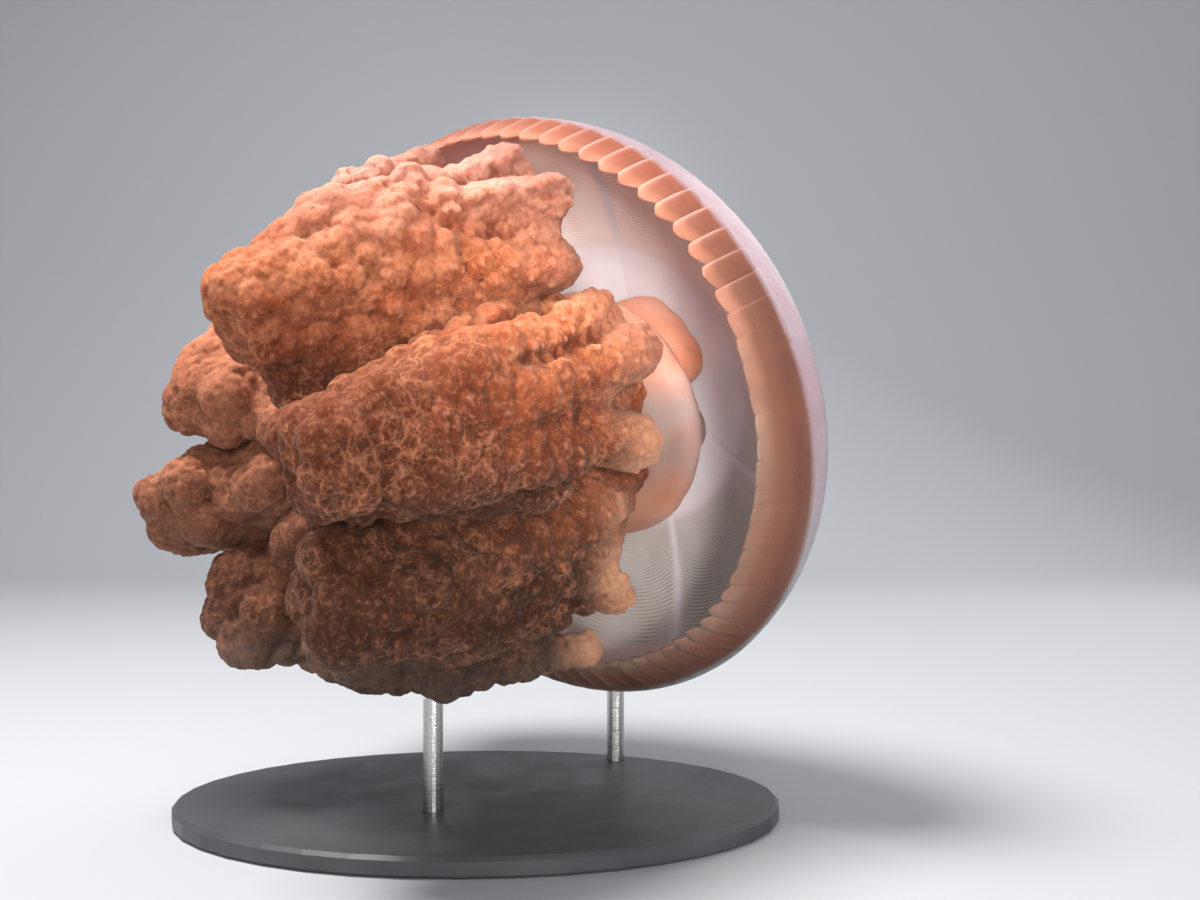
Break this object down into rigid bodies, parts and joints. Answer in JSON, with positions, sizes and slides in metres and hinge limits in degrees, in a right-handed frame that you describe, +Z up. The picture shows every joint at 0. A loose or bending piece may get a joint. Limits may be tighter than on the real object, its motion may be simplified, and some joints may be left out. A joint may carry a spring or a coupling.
{
  "type": "tomato jellyfish display model",
  "caption": "Still life-size model of a rhizostome jellyfish with a domed bell, scalloped margin and eight frilled oral arms, held on a flat base by two short rods.",
  "frame": {"origin": "middle of the stand base's underside, on the floor", "axes": "+Z up; -Y towards the viewer who looks up under the bell at the frilled arms; the top of the bell points right (+X), back (+Y) and a little up"},
  "size_m": [0.2824, 0.2865, 0.2912],
  "materials": {
    "bell_jelly": "smooth wet jelly, pale pinkish lilac, finely pimpled",
    "margin_jelly": "soft wet flaps, salmon to brown with pale edges",
    "disc_flesh": "smooth wet flesh, dull orange",
    "frill_flesh": "tightly frilled flesh, bright orange to dark brown, mossy grain",
    "stand_paint": "satin dark grey paint",
    "stand_steel": "brushed round bar"
  },
  "bodies": {
    "root": {"bell": "bell_jelly", "margin_1": "margin_jelly", "margin_2": "margin_jelly", "margin_3": "margin_jelly", "margin_4": "margin_jelly", "margin_5": "margin_jelly", "margin_6": "margin_jelly", "margin_7": "margin_jelly", "margin_8": "margin_jelly", "arm_disc": "disc_flesh", "oral_arm_1": "frill_flesh", "oral_arm_2": "frill_flesh", "oral_arm_3": "frill_flesh", "oral_arm_4": "frill_flesh", "oral_arm_5": "frill_flesh", "oral_arm_6": "frill_flesh", "oral_arm_7": "frill_flesh", "oral_arm_8": "frill_flesh", "stand_base": "stand_paint", "stand_rod_bell": "stand_steel", "stand_rod_arms": "stand_steel"}
  },
  "joints": []
}
